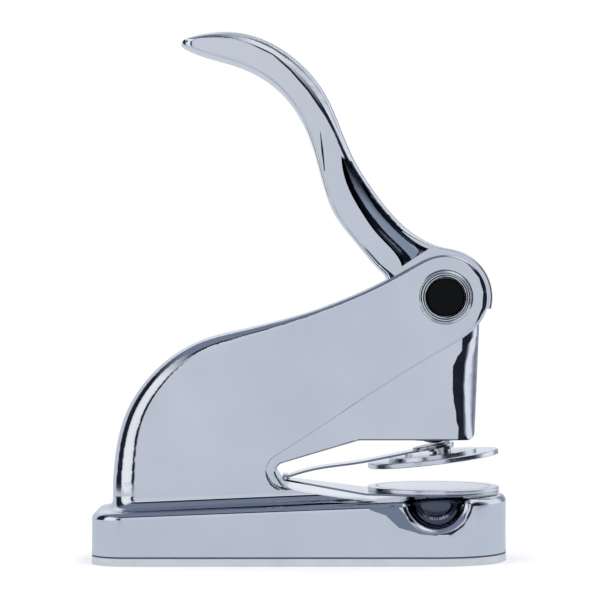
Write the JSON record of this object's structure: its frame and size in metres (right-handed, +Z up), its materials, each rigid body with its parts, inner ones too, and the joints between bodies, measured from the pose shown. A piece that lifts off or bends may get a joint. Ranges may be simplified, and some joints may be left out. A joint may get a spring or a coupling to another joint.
{
  "type": "seal embosser",
  "caption": "Desk seal embosser with a swan-neck lever, a cast frame and round die plates in a spring clip that it presses together on paper.",
  "frame": {"origin": "middle of the base pad's underside", "axes": "+X from the back of the hump to the dies, +Y to the machine's left side, +Z up"},
  "size_m": [0.1436, 0.049, 0.1838],
  "materials": {
    "plated_casting": "polished nickel-chrome plate over cast iron",
    "pad": "grey moulded non-slip pad",
    "bright_turned": "turned and chrome plated",
    "black_plug": "smooth black plastic",
    "machined_steel": "machined steel",
    "bearing": "plain bearing bronze",
    "spring_steel": "plated spring steel",
    "die_plate": "satin metal plate"
  },
  "bodies": {
    "frame": {"frame_casting": "plated_casting", "base_pad": "pad", "axle_pin": "machined_steel", "axle_ring_left": "bright_turned", "axle_ring_right": "bright_turned", "axle_cap_left": "black_plug", "axle_cap_right": "black_plug", "guide_bush": "bright_turned", "lower_leaf_spring": "spring_steel", "lower_die": "die_plate", "locating_peg": "machined_steel", "clip_pin": "machined_steel", "return_spring": "spring_steel"},
    "lever": {"handle": "plated_casting", "hub_sleeve": "bearing"},
    "push_rod": {"plunger": "machined_steel", "spring_washer": "machined_steel"},
    "clip_arm": {"upper_leaf_spring": "spring_steel", "pressure_pad": "machined_steel", "pad_ferrule": "machined_steel"},
    "die_rocker": {"upper_die": "die_plate", "holder_disc": "die_plate", "holder_stud": "machined_steel", "rocker_pin": "machined_steel"}
  },
  "joints": [
    {"name": "handle_pivot", "type": "hinge", "parent": "frame", "child": "lever", "pos_m": [0.0498, 0, 0.0916], "axis": [0, -1, 0], "range_deg": [0, 38], "stiffness_Nm_per_rad": 0.6, "springref_deg": -45.84},
    {"name": "plunger_slide", "type": "slide", "parent": "frame", "child": "push_rod", "axis": [0, 0, -1], "range_m": [0, 0.00934], "deforming": ["return_spring"]},
    {"name": "clip_arm_bend", "type": "hinge", "parent": "frame", "child": "clip_arm", "pos_m": [-0.0052, 0, 0.0288], "axis": [0, 1, 0], "range_deg": [0, 9.99]},
    {"name": "die_rocking", "type": "hinge", "parent": "clip_arm", "child": "die_rocker", "pos_m": [0.038, 0, 0.0366], "axis": [0, -1, 0], "range_deg": [0, 3.24]}
  ],
  "couplings": [
    {"joint": "plunger_slide", "follows": "handle_pivot", "m_per_rad": 0.014078},
    {"joint": "clip_arm_bend", "follows": "handle_pivot", "ratio": 0.26299},
    {"joint": "die_rocking", "follows": "handle_pivot", "ratio": 0.08536}
  ]
}
